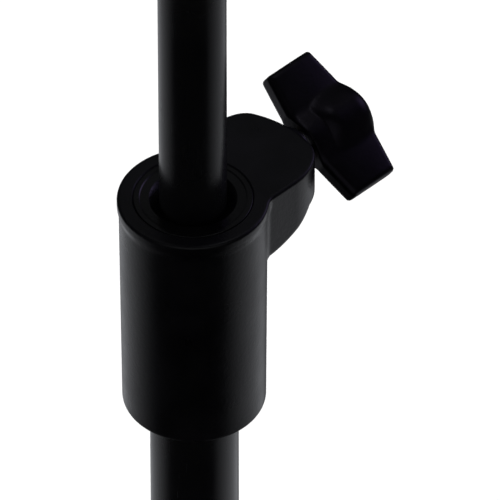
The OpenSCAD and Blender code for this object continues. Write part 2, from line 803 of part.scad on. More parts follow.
module desk_bracket() color(soft_black)
    on_desk() difference() {
        union() {
            translate([0, plate_back + plate_t, 0]) rotate([90, 0, 0])
                linear_extrude(plate_t) rounded(plate_w, plate_h, plate_corner);
            for (side = [-1, 1]) translate([side * (ear_in + ear_out) / 2, 0, 0])
                rotate([90, 0, 90]) linear_extrude(plate_t, center = true) ear_outline();
        }
        rotate([0, 90, 0]) cylinder(d = tilt_bolt_d + 2 * running, h = 4 * ear_out);
        rotate([0, 90, 0]) translate([0, 0, -2 * ear_out])
            cube([square_hole, square_hole, 4 * ear_out - 2 * ear_in], center = true);
        bracket_rivet_places() rivet_hole();
    }

// Side of the bracket: wide at the plate, round at the tilt axis
module ear_outline() {
    circle(ear_end_r);
    polygon([[plate_back, -bracket_root], [plate_back, bracket_root], [0, ear_end_r], [0, -ear_end_r]]);
}

module bracket_rivets() color(steel)
    on_desk() bracket_rivet_places()
        rivet(seat - sheet_t, seat + plate_t + seat);

module ledge_rivets() color(steel)
    on_desk() ledge_rivet_places()
        rivet(seat - sheet_t, seat + sheet_t + seat);

base_hub();
hub_bolt();
hub_washer();
tube_plug();
leg_pins();
leg_washers();
leg_root(1);  // leg_root_1
leg_root(2);  // leg_root_2
leg_root(3);  // leg_root_3
leg_tube(1);  // leg_tube_1
leg_tube(2);  // leg_tube_2
leg_tube(3);  // leg_tube_3
leg_foot(1);  // leg_foot_1
leg_foot(2);  // leg_foot_2
leg_foot(3);  // leg_foot_3
lower_tube();
clutch_housing();
clutch_bush();
clutch_insert();
clutch_set_screw();
pressure_pad();
clamp_screw();
clamp_knob();
guide_plug();
guide_pins();
upper_tube();
tilt_head();
head_set_screws();
friction_washers();
tilt_bolt();
knob_washer();
tilt_knob();
desk_bracket();
desk_panel();
music_ledge();
bracket_rivets();
ledge_rivets();
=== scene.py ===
"""Looks of a folding music stand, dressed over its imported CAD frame.

The scene is in metres in the frame's axes: +Z up along the column, the player stands at -Y.
Shapes are written in millimetres. Moulded and cast pieces are skins of a distance field.
"""
import json
import math

import bmesh
import bpy
import numpy as np
from mathutils import Matrix, Vector


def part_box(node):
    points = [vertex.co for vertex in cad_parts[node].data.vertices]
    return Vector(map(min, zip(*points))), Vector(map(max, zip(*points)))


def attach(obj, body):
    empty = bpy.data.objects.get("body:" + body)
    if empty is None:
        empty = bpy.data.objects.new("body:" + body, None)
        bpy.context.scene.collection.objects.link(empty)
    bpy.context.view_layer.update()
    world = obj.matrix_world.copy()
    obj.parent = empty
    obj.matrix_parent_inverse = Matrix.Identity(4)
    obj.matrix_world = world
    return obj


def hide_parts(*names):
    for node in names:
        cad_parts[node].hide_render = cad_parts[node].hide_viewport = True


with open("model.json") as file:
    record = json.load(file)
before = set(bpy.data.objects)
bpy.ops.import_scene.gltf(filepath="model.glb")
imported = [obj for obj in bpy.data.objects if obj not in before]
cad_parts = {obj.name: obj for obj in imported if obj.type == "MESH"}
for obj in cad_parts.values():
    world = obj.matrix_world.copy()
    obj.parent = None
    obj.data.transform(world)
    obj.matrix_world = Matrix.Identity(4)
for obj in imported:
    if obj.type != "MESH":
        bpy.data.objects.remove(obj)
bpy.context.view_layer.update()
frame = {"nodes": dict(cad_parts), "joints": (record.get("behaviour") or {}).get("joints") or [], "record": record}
nodes = frame["nodes"]
joints = {joint["name"]: joint for joint in frame["joints"]}
scene = bpy.context.scene
scene.view_settings.view_transform = "Standard"
MM = 0.001


# ---- places and sizes, from the frame ----

AZIMUTH = math.atan2(joints["pad_slide"]["axis"][1], joints["pad_slide"]["axis"][0])
CLUTCH_LOW, CLUTCH_TOP = (corner.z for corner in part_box("clutch_housing"))
SCREW_Z = joints["clamp_turn"]["pos_m"][2]
TILT_Z = joints["desk_tilt"]["pos_m"][2]
MAST_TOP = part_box("upper_tube")[1].z
DESK_LEAN = math.acos(-frame["record"]["mounts"][1]["axis"][1])
UPPER_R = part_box("upper_tube")[1].x / MM
LOWER_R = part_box("lower_tube")[1].x / MM
LEG_R = 8
UPPER_WALL, LOWER_WALL, LEG_WALL = 1.2, 1.5, 1.5
FIT = 0.05                      # play between pieces that sit in each other
LEG_TURNS = {i: 2 * math.pi / 3 * (i - 1) for i in (1, 2, 3)}


# ---- camera ----

VIEW_ELEVATION = math.radians(42)
VIEW_WIDTH = 0.1397             # width of the picture at the clutch
VIEW_DISTANCE = 2.5
AIM_RIGHT, AIM_BELOW = 0.0159, 0.0148       # from the middle of the clutch's top
SENSOR = 36
CLIP_END = 100


def put_camera():
    """Looks down on the clutch from the player's side, with the clutch left of the middle."""
    up = Vector((0, math.sin(VIEW_ELEVATION), math.cos(VIEW_ELEVATION)))
    back = Vector((0, -math.cos(VIEW_ELEVATION), math.sin(VIEW_ELEVATION)))
    aim = Vector((AIM_RIGHT, 0, CLUTCH_TOP)) - AIM_BELOW * up
    data = bpy.data.cameras.new("camera")
    data.sensor_width = SENSOR
    data.lens = SENSOR * VIEW_DISTANCE / VIEW_WIDTH
    data.clip_end = CLIP_END
    camera = bpy.data.objects.new("camera", data)
    camera.matrix_world = Matrix((
        (1, 0, 0, aim.x), (0, up.y, back.y, aim.y), (0, up.z, back.z, aim.z), (0, 0, 0, 1),
    )) @ Matrix.Translation((0, 0, VIEW_DISTANCE))
    scene.collection.objects.link(camera)
    scene.camera = camera


put_camera()


# ---- distance fields ----

PROBE = 0.02                    # step over which a field's slope is measured
TINY = 1e-6
SETTLE_ROUNDS = 5
SLIDE = 0.5                     # share of the way to its neighbours' mean that a corner goes
MOST_PULL = 0.5                 # the furthest that a corner goes to reach the surface


def smoothstep(t):
    return t * t * (3 - 2 * t)


def rounded_max(a, b, r):
    """Intersection of two fields whose outer edge is rounded to r."""
    return np.minimum(-r, np.maximum(a, b)) + np.hypot(np.maximum(a + r, 0), np.maximum(b + r, 0))


def rounded_min(a, b, r):
    """Union of two fields whose inner edge is filled to r."""
    return np.maximum(r, np.minimum(a, b)) - np.hypot(np.maximum(r - a, 0), np.maximum(r - b, 0))


def slope_of(field, p):
    """Gradient of a field at points p, and its squared length."""
    slope = np.stack([
        (field(*(p + PROBE * axis).T) - field(*(p - PROBE * axis).T)) / (2 * PROBE)
        for axis in np.eye(3)
    ], axis=1)
    return slope, np.maximum((slope ** 2).sum(1, keepdims=True), TINY)


def settle(field, p, quads):
    """Evens out the corners along the surface and pulls them onto it."""
    pairs = np.concatenate([quads[:, [i, (i + 1) % 4]] for i in range(4)])
    pairs = np.concatenate([pairs, pairs[:, ::-1]])
    degree = np.bincount(pairs[:, 0], minlength=len(p))[:, None]
    for n in range(SETTLE_ROUNDS + 1):
        slope, size = slope_of(field, p)
        if n:
            mean = np.stack([
                np.bincount(pairs[:, 0], p[pairs[:, 1], i], len(p)) for i in range(3)
            ], axis=1) / degree
            move = mean - p
            p = p + SLIDE * (move - slope * (move * slope).sum(1, keepdims=True) / size)
            slope, size = slope_of(field, p)
        p = p - np.clip(field(*p.T)[:, None] / size, -MOST_PULL, MOST_PULL) * slope
    return p


def skin(name, field, low, high, step):
    """Closed mesh of field = 0 inside a box, with one corner in each cell that it crosses."""
    axes = [np.arange(a - 1.5 * step, b + 2.5 * step, step) for a, b in zip(low, high)]
    value = field(*np.meshgrid(*axes, indexing="ij"))
    shape = value.shape
    cells, points, quads = [], [], []
    for a in range(3):
        b, c = (a + 1) % 3, (a + 2) % 3
        start = np.argwhere(np.diff((value < 0).astype(np.int8), axis=a) != 0)
        end = start.copy()
        end[:, a] += 1
        f0, f1 = value[tuple(start.T)], value[tuple(end.T)]
        point = start.astype(float)
        point[:, a] += f0 / (f0 - f1)
        around = []
        for db, dc in ((0, 0), (-1, 0), (-1, -1), (0, -1)):
            cell = start.copy()
            cell[:, b] += db
            cell[:, c] += dc
            around.append(np.ravel_multi_index(cell.T, shape))
            points.append(point)
        cells += around
        quad = np.stack(around, axis=1)
        quad[f0 > 0] = quad[f0 > 0][:, ::-1]
        quads.append(quad)
    cells, points, quads = np.concatenate(cells), np.concatenate(points), np.concatenate(quads)
    used, index = np.unique(cells, return_inverse=True)
    count = np.bincount(index)
    p = np.stack([np.bincount(index, points[:, i]) / count for i in range(3)], axis=1)
    p = p * step + np.array([axis[0] for axis in axes])
    quads = np.searchsorted(used, quads)
    p = settle(field, p, quads)
    mesh = bpy.data.meshes.new(name)
    mesh.from_pydata((p * MM).tolist(), [], quads.tolist())
    mesh.shade_smooth()
    return mesh


# ---- mesh tools ----

STRAIGHT = math.radians(175)    # a corner that is this open isn't rounded
WELD = 2e-6                     # in metres
FLAT = math.radians(0.5)
SHARP = math.radians(30)


def new_object(name, mesh):
    obj = bpy.data.objects.new(name, mesh)
    scene.collection.objects.link(obj)
    return obj


def mesh_from(form, name):
    """Writes a bmesh out as a mesh and frees it."""
    mesh = bpy.data.meshes.new(name)
    form.to_mesh(mesh)
    form.free()
    return mesh


def turned(name, profile, segments):
    """Closed lathe piece about Z from a closed outline of (radius, height)."""
    form = bmesh.new()
    angles = [2 * math.pi * i / segments for i in range(segments)]
    rings = []
    for r, z in profile:
        if r > 0:
            rings.append([form.verts.new((r * MM * math.cos(t), r * MM * math.sin(t), z * MM))
                          for t in angles])
        else:
            rings.append([form.verts.new((0, 0, z * MM))] * segments)
    for ring, after in zip(rings, rings[1:] + rings[:1]):
        for i in range(segments):
            j = (i + 1) % segments
            corners = list(dict.fromkeys((ring[i], ring[j], after[j], after[i])))
            if len(corners) > 2:
                form.faces.new(corners)
    bmesh.ops.recalc_face_normals(form, faces=form.faces)
    mesh = mesh_from(form, name)
    mesh.shade_smooth()
    return mesh


def eased(points, radii, steps):
    """Closed outline with each corner rounded to its own radius."""
    out = []
    for n, (here, r) in enumerate(zip(points, radii)):
        here = Vector(here)
        before, after = Vector(points[n - 1]) - here, Vector(points[(n + 1) % len(points)]) - here
        turn = before.angle(after)
        cut = r / math.tan(turn / 2) if r else 0
        if cut < TINY or turn > STRAIGHT:
            out.append(tuple(here))
            continue
        a, b = here + before.normalized() * cut, here + after.normalized() * cut
        for i in range(steps + 1):
            t = i / steps
            out.append(tuple((1 - t) ** 2 * a + 2 * t * (1 - t) * here + t * t * b))
    return out


def applied(obj):
    """Bakes a piece's modifiers into its mesh."""
    mesh = bpy.data.meshes.new_from_object(
        obj.evaluated_get(bpy.context.evaluated_depsgraph_get()))
    obj.modifiers.clear()
    obj.data = mesh
    return obj


def bored(obj, cutters):
    """Cuts closed meshes out of a piece."""
    for n, cutter in enumerate(cutters):
        tool = new_object(f"{obj.name}_cut{n}", cutter)
        cut = obj.modifiers.new("cut", "BOOLEAN")
        cut.object = tool
        cut.operation = "DIFFERENCE"
        cut.solver = "EXACT"
        applied(obj)
        bpy.data.objects.remove(tool)


def smoothed(obj, degrees=35):
    obj.data.shade_smooth()
    obj.data.set_sharp_from_angle(angle=math.radians(degrees))
    return obj


def evened(obj):
    """Keeps flat faces flat in shading beside their rounded edges."""
    even = obj.modifiers.new("even", "WEIGHTED_NORMAL")
    even.keep_sharp = True
    return obj


def softened(node, width):
    """A CAD node's form as a new piece with its edges rounded to width."""
    form = bmesh.new()
    form.from_mesh(nodes[node].data)
    bmesh.ops.remove_doubles(form, verts=form.verts, dist=WELD)
    bmesh.ops.dissolve_limit(form, angle_limit=FLAT, verts=form.verts, edges=form.edges)
    edges = [e for e in form.edges if e.is_manifold and e.calc_face_angle(0) > SHARP]
    bmesh.ops.bevel(form, geom=edges, offset=width * MM, segments=2, profile=0.5,
                    affect="EDGES", clamp_overlap=True)
    return evened(smoothed(new_object(node + "_soft", mesh_from(form, node + "_soft"))))


# ---- materials ----

NOISE_SPAN = (0.3, 0.7)         # most of a noise pattern's values lie between these


class Look:
    """A material whose colour, roughness and relief come from procedural patterns."""

    def __init__(self, name, colour, roughness, metallic=0.0, specular=0.5):
        self.material = bpy.data.materials.new(name)
        self.material.use_nodes = True
        self.tree = self.material.node_tree
        self.shader = self.tree.nodes["Principled BSDF"]
        for socket, value in (("Base Color", (*colour, 1)), ("Roughness", roughness),
                              ("Metallic", metallic), ("Specular IOR Level", specular)):
            self.shader.inputs[socket].default_value = value
        self.where = self.tree.nodes.new("ShaderNodeTexCoord").outputs["Object"]
        self.relief = None

    def node(self, kind, **values):
        """A new node; each value goes to the input of that name, or else to the setting."""
        made = self.tree.nodes.new(kind)
        for name, value in values.items():
            if name in made.inputs:
                made.inputs[name].default_value = value
            else:
                setattr(made, name, value)
        return made

    def link(self, a, b):
        self.tree.links.new(a, b)

    def noise(self, size, detail, rough=0.55, stretch=None):
        """Noise with features of about size millimetres, centred on 0.5."""
        made = self.node("ShaderNodeTexNoise", Scale=1000 / size, Detail=detail, Roughness=rough)
        source = self.where
        if stretch:
            mapping = self.node("ShaderNodeMapping", Scale=stretch)
            self.link(source, mapping.inputs["Vector"])
            source = mapping.outputs["Vector"]
        self.link(source, made.inputs["Vector"])
        return made.outputs["Fac"]

    def ramp(self, value, low, high, out_low=0.0, out_high=1.0):
        made = self.node("ShaderNodeMapRange")
        for name, number in (("From Min", low), ("From Max", high),
                             ("To Min", out_low), ("To Max", out_high)):
            made.inputs[name].default_value = number
        self.link(value, made.inputs["Value"])
        return made.outputs["Result"]

    def maths(self, operation, a, b):
        made = self.node("ShaderNodeMath", operation=operation)
        for socket, value in zip(made.inputs, (a, b)):
            if isinstance(value, (int, float)):
                socket.default_value = value
            else:
                self.link(value, socket)
        return made.outputs[0]

    def tint(self, value, dark, light):
        """Colour that runs from dark to light as value goes from 0 to 1."""
        made = self.node("ShaderNodeMix", data_type="RGBA")
        self.link(value, made.inputs["Factor"])
        made.inputs["A"].default_value = (*dark, 1)
        made.inputs["B"].default_value = (*light, 1)
        self.link(made.outputs["Result"], self.shader.inputs["Base Color"])

    def rough(self, value):
        self.link(value, self.shader.inputs["Roughness"])

    def clouds(self, pattern, gloss, dull, dark, light, tint_span=NOISE_SPAN):
        """One pattern changes the gloss and the colour together."""
        self.rough(self.ramp(pattern, *NOISE_SPAN, gloss, dull))
        self.tint(self.ramp(pattern, *tint_span), dark, light)

    def bump(self, value, depth):
        """Adds relief of depth millimetres."""
        made = self.node("ShaderNodeBump", Strength=1.0, Distance=depth * MM)
        self.link(value, made.inputs["Height"])
        if self.relief:
            self.link(self.relief, made.inputs["Normal"])
        self.relief = made.outputs["Normal"]
        self.link(self.relief, self.shader.inputs["Normal"])


def powder_coat(name, specular):
    """Semi-gloss black powder coat: faint orange peel, slow changes of gloss, hairline scuffs."""
    look = Look(name, (0.006, 0.006, 0.007), 0.27, specular=specular)
    patches = look.noise(38, 3)
    scuffs = look.ramp(look.noise(7, 4, 0.6, stretch=(6, 6, 0.5)), 0.62, 0.75)
    look.rough(look.maths("ADD", look.ramp(patches, *NOISE_SPAN, 0.22, 0.30),
                          look.maths("MULTIPLY", scuffs, 0.10)))
    look.tint(look.ramp(patches, *NOISE_SPAN), (0.002, 0.002, 0.0028), (0.004, 0.004, 0.0048))
    look.bump(look.noise(1.6, 2, 0.4), 0.006)
    look.bump(look.noise(0.35, 2, 0.5), 0.0012)
    return look.material


def moulded_black(name, gloss, dull, dark, light, specular=0.45, sheen=(1, 1, 1)):
    """Black nylon moulding: mottled relief that breaks up its gloss, cloudy, slightly blue."""
    look = Look(name, light, gloss, specular=specular)
    look.shader.inputs["Specular Tint"].default_value = (*sheen, 1)
    look.clouds(look.noise(14, 4), gloss, dull, dark, light, tint_span=(0.35, 0.65))
    look.bump(look.noise(1.1, 4, 0.6), 0.05)
    look.bump(look.noise(0.35, 2, 0.5), 0.01)
    return look.material


def cast_black():
    """Satin coated casting: sand-cast waviness under a fine coat."""
    look = Look("cast_black", (0.022, 0.022, 0.024), 0.38, specular=0.4)
    look.clouds(look.noise(18, 4), 0.32, 0.46, (0.016, 0.016, 0.018), (0.027, 0.027, 0.029))
    look.bump(look.noise(3.2, 3), 0.05)
    look.bump(look.noise(0.8, 2), 0.012)
    return look.material


def desk_coat():
    """Fine-textured satin powder coat of the sheet parts."""
    look = Look("desk_coat", (0.024, 0.024, 0.026), 0.5, specular=0.35)
    look.clouds(look.noise(70, 3), 0.44, 0.56, (0.021, 0.021, 0.023), (0.028, 0.028, 0.0305))
    look.bump(look.noise(0.7, 3, 0.6), 0.035)
    return look.material


def metal(name, colour, roughness):
    """Bare or plated metal with dull spots."""
    look = Look(name, colour, roughness, metallic=1.0)
    look.clouds(look.noise(2.5, 4), roughness - 0.06, roughness + 0.08,
                tuple(0.85 * c for c in colour), colour)
    look.bump(look.noise(0.25, 2, 0.5), 0.002)
    return look.material


def plastic(name, colour, roughness, grain):
    """Nylon or rubber with a grain of that depth."""
    look = Look(name, colour, roughness, specular=0.4)
    look.clouds(look.noise(5, 3), roughness - 0.05, roughness + 0.07,
                tuple(0.82 * c for c in colour), colour)
    look.bump(look.noise(0.6, 3), grain)
    return look.material


looks = {
    "powder_coat": powder_coat("powder_coat", 0.4),
    "desk_coat": desk_coat(),
    "cast_black": cast_black(),
    "moulded_black": moulded_black("moulded_black", 0.26, 0.36, (0.0008, 0.0008, 0.0014),
                                   (0.0024, 0.0022, 0.0036)),
    "zinc_steel": metal("zinc_steel", (0.55, 0.56, 0.58), 0.3),
    "black_steel": metal("black_steel", (0.05, 0.05, 0.055), 0.35),
    "brass": metal("brass", (0.72, 0.52, 0.22), 0.28),
    "white_nylon": plastic("white_nylon", (0.70, 0.69, 0.64), 0.45, 0.01),
    "rubber": plastic("rubber", (0.024, 0.024, 0.024), 0.72, 0.03),
}
# Finishes of single pieces that differ a little from the rest of their slot
knob_black = moulded_black("knob_black", 0.27, 0.35, (0.0004, 0.0003, 0.0006),
                           (0.0016, 0.0013, 0.0022), 0.28, (0.88, 0.8, 1))
bush_black = moulded_black("bush_black", 0.12, 0.2, (0.0006, 0.0006, 0.0008),
                           (0.002, 0.002, 0.0025))
glossy_coat = powder_coat("glossy_coat", 0.7)
slot_of = {part["node"]: part["material_slot"] for part in frame["record"]["subparts"]}
for node, obj in nodes.items():
    obj.data.materials.clear()
    obj.data.materials.append(looks[slot_of[node]])


def dress(obj, node, body, look=None):
    """Gives a new piece the finish and the body of the CAD node that it stands for."""
    slot = slot_of[node]
    obj.data.materials.clear()
    obj.data.materials.append(look or looks[slot])
    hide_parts(node)
    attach(obj, body)


# ---- clutch ----
# Its own axes run from the middle of its top, with x along the clamp screw and y away from the
# player and to the left.

on_screw = Matrix.Rotation(AZIMUTH, 4, "Z")
on_clutch = Matrix.Translation((0, 0, CLUTCH_TOP)) @ on_screw
across_x = Matrix.Rotation(math.pi / 2, 4, "Y")     # stands a turned form up along x
COLLAR_H = (CLUTCH_TOP - CLUTCH_LOW) / MM
COLLAR_R = LOWER_R + 8.2
COLLAR_ROUND = 1.8
DRAFT = 0.4                     # the collar narrows by this down to its foot
LIP_OUT, LIP_H, LIP_EASE = 0.5, 2.4, 3.0    # the collar's thicker rim and the slope below it
RIM_ROUND = 0.85
LOBE_HALF, LOBE_BACK = 15.9, 2.0            # half width, and how much more on the far side
LOBE_END = COLLAR_R + 19.4
LOBE_H = 15                     # at its outer end
LOBE_ROUND = 2.0
CROWN_R = 32                    # of its outer end, seen from above
CORNER_FAR, CORNER_NEAR = 4.5, 9.0          # its corners, seen from above
BELLY_X, BELLY_Z, BELLY_R = 0.6 * COLLAR_R, 6.37, 29        # circle of its underside
BOSS_R, BOSS_START, BOSS_END = 6.6, 10, LOBE_END + 1.2
BOSS_ROUND = 0.7
LOBE_FILLET, BOSS_FILLET = 1.0, 0.8
FLANGE_R, FLANGE_T = 16.8, 2.4
BUSH_R, BUSH_BORE = 12.8, UPPER_R + 0.1
SEAT_DEPTH = 28                 # the bush and the lower tube meet here
SCREW_DROP = (CLUTCH_TOP - SCREW_Z) / MM
PAD_HOLE_R, PAD_HOLE_END = 5.0, 26
INSERT_HOLE_R, INSERT_HOLE_START, INSERT_HOLE_END = 5.35, 25, 60
SET_SCREW_R, SET_SCREW_DROP = 2.55, 50
PAST = 2                        # how far a cutter runs past a face
CLUTCH_CELL, CLUTCH_SEGMENTS = 0.42, 160


def housing_field(x, y, z):
    """The collar with its lobe and the screw's boss."""
    lip = LIP_OUT * smoothstep(np.clip((z + LIP_H + LIP_EASE) / LIP_EASE, 0, 1))
    collar = rounded_max(np.hypot(x, y) - (COLLAR_R + DRAFT * z / COLLAR_H) - lip,
                         -COLLAR_H - z, COLLAR_ROUND)
    plan = rounded_max(np.maximum(y - LOBE_BACK, -y) - LOBE_HALF,
                       np.hypot(x - (LOBE_END - CROWN_R), y) - CROWN_R,
                       np.where(y > 0, CORNER_FAR, CORNER_NEAR))
    belly = np.hypot(x - BELLY_X, z - BELLY_Z) - BELLY_R
    end = np.maximum(-LOBE_H - z, COLLAR_R - x)
    lobe = np.maximum(rounded_max(plan, np.minimum(belly, end), LOBE_ROUND), -x)
    boss = rounded_max(np.hypot(y, z + SCREW_DROP) - BOSS_R, x - BOSS_END, BOSS_ROUND)
    side = rounded_min(rounded_min(collar, lobe, LOBE_FILLET),
                       np.maximum(boss, BOSS_START - x), BOSS_FILLET)
    return rounded_max(side, z, RIM_ROUND)


def bar(r, x0, x1, z):
    """Closed cylinder along x at height z, as a cutter."""
    mesh = turned("bar", [(0, x0), (r, x0), (r, x1), (0, x1)], 64)
    mesh.transform(Matrix.Translation((0, 0, z * MM)) @ across_x)
    return mesh


def make_housing():
    mesh = skin("clutch_housing_skin", housing_field, (-COLLAR_R - 1, -COLLAR_R - 1, -COLLAR_H),
                (BOSS_END, COLLAR_R + 1, 0), CLUTCH_CELL)
    obj = new_object("clutch_housing_skin", mesh)
    recess, seat, bore = FLANGE_R + FIT, BUSH_R + FIT, LOWER_R + FIT
    well = turned("well", [
        (0, PAST), (recess + 0.35, PAST), (recess + 0.35, 0.02), (recess, -0.35),
        (recess, -FLANGE_T - FIT), (seat, -FLANGE_T - FIT), (seat, -SEAT_DEPTH),
        (bore, -SEAT_DEPTH), (bore, -COLLAR_H + 0.8), (LOWER_R + 0.8, -COLLAR_H - 0.1),
        (LOWER_R + 0.8, -COLLAR_H - PAST), (0, -COLLAR_H - PAST),
    ], CLUTCH_SEGMENTS)
    set_screw = bar(SET_SCREW_R, 0, 2 * COLLAR_R, -SET_SCREW_DROP)
    set_screw.transform(Matrix.Rotation(math.pi / 2, 4, "Z"))
    bored(obj, [well, bar(PAD_HOLE_R, 0, PAD_HOLE_END, -SCREW_DROP),
                bar(INSERT_HOLE_R, INSERT_HOLE_START, INSERT_HOLE_END, -SCREW_DROP), set_screw])
    obj.data.transform(on_clutch)
    dress(smoothed(obj), "clutch_housing", "base")


def make_bush():
    """Flanged bush with two fine grooves round its bore; each corner is (radius, height), ease."""
    corners, easing = zip(*(
        ((BUSH_BORE, -SEAT_DEPTH + FIT), 0), ((BUSH_R, -SEAT_DEPTH + FIT), 0.3),
        ((BUSH_R, -FLANGE_T), 0), ((FLANGE_R, -FLANGE_T), 0), ((FLANGE_R, 0), 0.3),
        ((15.2, 0), 0.1), ((14.9, -0.25), 0.1), ((12.4, -0.25), 0.25), ((12.1, -0.5), 0.2),
        ((BUSH_BORE + 0.1, -2.2), 0.3), ((BUSH_BORE, -3.2), 0.3),
    ))
    obj = new_object("clutch_bush_turned", turned("clutch_bush_turned", eased(corners, easing, 4),
                                                  CLUTCH_SEGMENTS))
    bored(obj, [bar(PAD_HOLE_R, 0, PAD_HOLE_END, -SCREW_DROP)])
    obj.data.transform(on_clutch)
    dress(smoothed(obj), "clutch_bush", "base", bush_black)


# ---- knobs ----

SWELL = 2.2                     # the wings grow by this towards the hub
WING_HOLLOW = 0.4               # each face of a wing falls away by this to its tip
WING_CROWN = 0.06               # and by this share of its thickness to its long edges
HUB_ROUND, HUB_FOOT_ROUND, HUB_FILLET = 1.2, 0.6, 3.6
WING_CORNER, WING_ROUND = 1.0, 1.8
WING_TURN = math.radians(-56)
BOSS_GAP = 0.6
KNOB_CELL = 0.45


def knob_field(neck_r, neck, shoulder, half, depth, thick, swell, hub_r, cap):
    """Wing knob on a screw along z, with its wings along x and its neck from z = 0."""
    wing_low = neck + shoulder
    middle = wing_low + depth / 2
    top = wing_low + depth + cap
    dome = hub_r / 2
    ball = (hub_r ** 2 + dome ** 2) / (2 * dome)

    def field(x, y, z):
        r = np.hypot(x, y)
        hub = rounded_max(r - hub_r, np.sqrt(r * r + (z - top + ball) ** 2) - ball, HUB_ROUND)
        hub = rounded_max(hub, neck - z, HUB_FOOT_ROUND)
        if neck:
            hub = np.minimum(hub, np.maximum(r - neck_r, np.maximum(-z, z - middle)))
        spread = np.clip((half - np.abs(x)) / (half - hub_r), 0, 1)
        outline = rounded_max(np.abs(z - middle) - depth / 2 - swell * spread,
                              np.abs(x) - half, WING_CORNER)
        across = np.clip(np.abs(z - middle) / (depth / 2), 0, 1.2)
        fall = WING_HOLLOW * (np.abs(x) / half) ** 2 + WING_CROWN * thick * across ** 2
        wing = rounded_max(outline, np.abs(y) - thick / 2 + fall, WING_ROUND)
        return np.maximum(rounded_min(hub, wing, HUB_FILLET), neck - z if neck else -z)

    return field, top


def make_knob(node, body, matrix, **sizes):
    """Wing knob with the sizes that knob_field names."""
    field, top = knob_field(**sizes)
    half, reach = sizes["half"], max(sizes["hub_r"], sizes["thick"])
    obj = new_object(node + "_skin", skin(node + "_skin", field, (-half, -reach, 0),
                                          (half, reach, top), KNOB_CELL))
    obj.data.transform(matrix)
    dress(smoothed(obj, 60), node, body, knob_black)


clamp_frame = (Matrix.Translation((0, 0, SCREW_Z)) @ on_screw @ across_x
               @ Matrix.Translation((0, 0, (BOSS_END + BOSS_GAP) * MM))
               @ Matrix.Rotation(WING_TURN, 4, "Z"))
tilt_frame = (Matrix.Translation((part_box("tilt_knob")[0].x, 0, TILT_Z))
              @ Matrix.Rotation(-DESK_LEAN, 4, "X") @ across_x)
make_housing()
make_bush()
make_knob("clamp_knob", "clamp", clamp_frame, neck_r=5.5, neck=1.4, shoulder=2, half=21,
          depth=16.6, thick=7.8, swell=SWELL, hub_r=7.5, cap=5)
make_knob("tilt_knob", "tilt_knob", tilt_frame, neck_r=0, neck=0, shoulder=SWELL + 0.6, half=17,
          depth=10, thick=6.8, swell=SWELL, hub_r=6.5, cap=4)


# ---- base ----

PIVOT = Vector(joints["leg_fold_1"]["pos_m"]) / MM
PIVOT_HOLE_R = 3.08             # also the tilt bolt's
FOOT_R = 10.5
FOOT_SLEEVE = 32
FOOT_END = Vector((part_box("leg_foot_1")[1].x / MM - FOOT_R, 0, FOOT_R - 1.5))
LEG_LEN = (FOOT_END - PIVOT).length
LEG_SLOPE = math.atan2(PIVOT.z - FOOT_END.z, FOOT_END.x - PIVOT.x)
TUBE_STOP = 4                   # the leg's tube ends this far before the foot's ball
FOOT_TAPER, TAPER_START, TAPER_RUN = 0.8, 9, 20
RIBS_START, RIBS_END, RIB_PITCH, RIB_DEPTH = 2.4, 12.6, 3.4, 0.6
SOLE_RING_R, SOLE_RING_WIDTH, SOLE_RING_DEPTH = 3.1, 0.6, 0.45
ROOT_LEN, ROOT_HALF = 26, 7
EYE_R = 9
ROOT_TAPER = 0.25               # how much the shank widens towards the eye, for its length
HEEL_TOP, HEEL_GAP, HEEL_OUT = 12, 0.3, 7.2
STUB_START, STUB_LEN = 20, 26
HUB_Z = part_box("base_hub")[0].z / MM
HUB_R, HUB_H = LOWER_R + 5.05, 52
HUB_FLOOR = 6                   # thickness below the lower tube
HUB_BOLT_R = 5.2
EAR_R, EAR_MIDDLE, EAR_HALF = 11, 10.5, 2.5
EAR_ROOT = 3                    # how deep the ears reach into the barrel
SLOT_HALF = 8
PIN_HOLE_R = 3.05
NOWHERE = 1e3


def along_leg(x, z):
    """Distance of a point along leg 1 from its pivot, and its height over the leg's axis."""
    dx, dz = x - PIVOT.x, z - PIVOT.z
    c, s = math.cos(LEG_SLOPE), math.sin(LEG_SLOPE)
    return dx * c - dz * s, dx * s + dz * c


def foot_field(x, y, z):
    """Ribbed rubber tip with a ball end, a flat sole and a groove round the sole."""
    s, w = along_leg(x, z)
    q = np.hypot(w, y)
    up = s - LEG_LEN + FOOT_SLEEVE
    half = RIB_DEPTH / 2
    ribs = np.where((up > RIBS_START) & (up < RIBS_END),
                    half - half * np.cos(2 * np.pi * (up - RIBS_START) / RIB_PITCH), 0)
    taper = FOOT_TAPER * np.clip((LEG_LEN - TAPER_START - s) / TAPER_RUN, 0, 1)
    radius = FOOT_R - taper - ribs
    body = rounded_max(np.hypot(q, np.maximum(s - LEG_LEN, 0)) - radius, -up, 0.8)
    bore = np.maximum(q - LEG_R - FIT, s - LEG_LEN + TUBE_STOP)
    off_ring = (np.hypot(x - FOOT_END.x, y) - SOLE_RING_R) / SOLE_RING_WIDTH
    groove = SOLE_RING_DEPTH * np.exp(-off_ring ** 2)
    return rounded_max(rounded_max(body, -bore, 0.4), groove - z, 0.8)


